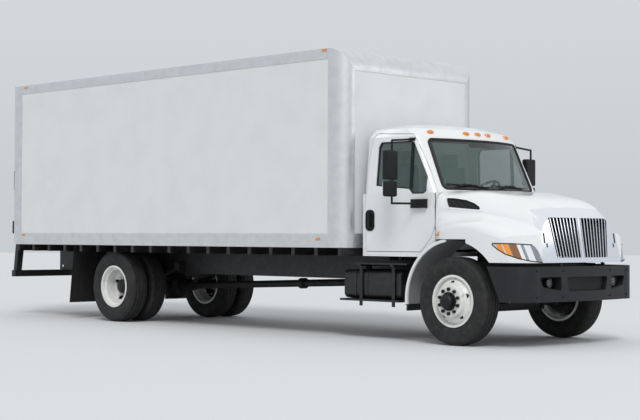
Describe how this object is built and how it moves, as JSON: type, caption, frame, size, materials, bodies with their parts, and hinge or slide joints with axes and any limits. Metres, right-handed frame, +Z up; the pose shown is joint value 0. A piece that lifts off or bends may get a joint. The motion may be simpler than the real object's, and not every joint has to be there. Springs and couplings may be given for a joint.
{
  "type": "conventional-cab box truck",
  "caption": "Medium-duty truck with a bonneted cab, a tilting hood, steered front wheels, twin rear wheels and a tall van body with a roll-up rear door.",
  "frame": {"origin": "on the ground under the middle of the overall length", "axes": "+X forward, +Y to the truck's left, +Z up"},
  "size_m": [10.24, 2.938, 3.64],
  "materials": {
    "tyre_rubber": "matte, ribbed tread",
    "wheel_enamel": "white enamel",
    "cast_steel": "black painted casting",
    "frame_paint": "satin black chassis paint",
    "white_paint": "gloss white coachwork paint",
    "panel_white": "satin white composite panel",
    "mill_aluminium": "extruded, satin",
    "floor_oak": "worn laminated hardwood",
    "chrome_plate": "bright plated",
    "charcoal_plastic": "grained moulding",
    "black_plastic": "grained moulding",
    "black_rubber": "matte",
    "tinted_glass": "green tint",
    "amber_lens": "clear amber lens",
    "lamp_lens": "clear lens over a reflector",
    "seat_cloth": "woven upholstery",
    "dash_plastic": "soft grained moulding",
    "tank_paint": "gloss black",
    "radiator_core": "dark finned core"
  },
  "bodies": {
    "chassis": {"battery_box": "frame_paint", "body_rails": "mill_aluminium", "body_sills": "frame_paint", "cab_back": "white_paint", "cab_floor": "white_paint", "cab_pillars": "white_paint", "cab_roof": "white_paint", "cab_steps": "frame_paint", "corner_caps": "mill_aluminium", "corner_posts": "mill_aluminium", "dashboard": "dash_plastic", "drive_shaft": "cast_steel", "engine": "cast_steel", "front_axle": "cast_steel", "front_bumper": "charcoal_plastic", "front_wall": "panel_white", "fuel_tank": "tank_paint", "ladder_frame": "frame_paint", "leaf_springs": "cast_steel", "load_floor": "floor_oak", "marker_lamps": "amber_lens", "mudflaps": "black_rubber", "radiator": "radiator_core", "rear_axle": "cast_steel", "rear_door": "panel_white", "rear_fittings": "black_plastic", "rear_frame": "mill_aluminium", "rear_guard": "frame_paint", "roof_panel": "panel_white", "seats": "seat_cloth", "side_walls": "panel_white", "splash_guards": "black_plastic", "steering_wheel": "black_plastic", "windshield": "tinted_glass"},
    "hood": {"hood": "white_paint", "fenders": "white_paint", "grille": "chrome_plate", "headlamps": "lamp_lens", "hood_hinges": "cast_steel", "hood_vents": "black_plastic"},
    "left_door": {"left_door": "white_paint", "left_window": "tinted_glass", "left_mirror": "black_plastic", "left_handle": "black_plastic"},
    "right_door": {"right_door": "white_paint", "right_window": "tinted_glass", "right_mirror": "black_plastic", "right_handle": "black_plastic"},
    "left_knuckle": {"left_knuckle": "cast_steel"},
    "right_knuckle": {"right_knuckle": "cast_steel"},
    "tie_rod": {"tie_rod": "cast_steel"},
    "front_left_wheel": {"front_left_tyre": "tyre_rubber", "front_left_wheel": "wheel_enamel"},
    "front_right_wheel": {"front_right_tyre": "tyre_rubber", "front_right_wheel": "wheel_enamel"},
    "rear_left_wheels": {"rear_left_tyres": "tyre_rubber", "rear_left_wheels": "wheel_enamel"},
    "rear_right_wheels": {"rear_right_tyres": "tyre_rubber", "rear_right_wheels": "wheel_enamel"}
  },
  "joints": [
    {"name": "hood_tilt", "type": "hinge", "parent": "chassis", "child": "hood", "pos_m": [5.032, 0, 0.957], "axis": [0, 1, 0], "range_deg": [0, 75]},
    {"name": "left_door_swing", "type": "hinge", "parent": "chassis", "child": "left_door", "pos_m": [3.64, 1.041, 1.5], "axis": [0, 0, -1], "range_deg": [0, 68]},
    {"name": "right_door_swing", "type": "hinge", "parent": "chassis", "child": "right_door", "pos_m": [3.64, -1.041, 1.5], "axis": [0, 0, 1], "range_deg": [0, 68]},
    {"name": "left_steer", "type": "hinge", "parent": "chassis", "child": "left_knuckle", "pos_m": [4.02, 0.87, 0.52], "axis": [0, 0, 1], "range_deg": [-35, 35]},
    {"name": "right_steer", "type": "hinge", "parent": "chassis", "child": "right_knuckle", "pos_m": [4.02, -0.87, 0.52], "axis": [0, 0, 1], "range_deg": [-35, 35]},
    {"name": "tie_rod_pivot", "type": "hinge", "parent": "left_knuckle", "child": "tie_rod", "pos_m": [3.805, 0.87, 0.384], "axis": [0, 0, 1], "range_deg": [-35, 35]},
    {"name": "front_left_spin", "type": "hinge", "parent": "left_knuckle", "child": "front_left_wheel", "pos_m": [4.02, 1.04, 0.52], "axis": [0, 1, 0], "continuous": true},
    {"name": "front_right_spin", "type": "hinge", "parent": "right_knuckle", "child": "front_right_wheel", "pos_m": [4.02, -1.04, 0.52], "axis": [0, 1, 0], "continuous": true},
    {"name": "rear_left_spin", "type": "hinge", "parent": "chassis", "child": "rear_left_wheels", "pos_m": [-2.48, 1.057, 0.52], "axis": [0, 1, 0], "continuous": true},
    {"name": "rear_right_spin", "type": "hinge", "parent": "chassis", "child": "rear_right_wheels", "pos_m": [-2.48, -1.057, 0.52], "axis": [0, 1, 0], "continuous": true}
  ],
  "couplings": [
    {"joint": "right_steer", "follows": "left_steer", "ratio": 1},
    {"joint": "tie_rod_pivot", "follows": "left_steer", "ratio": -1}
  ]
}
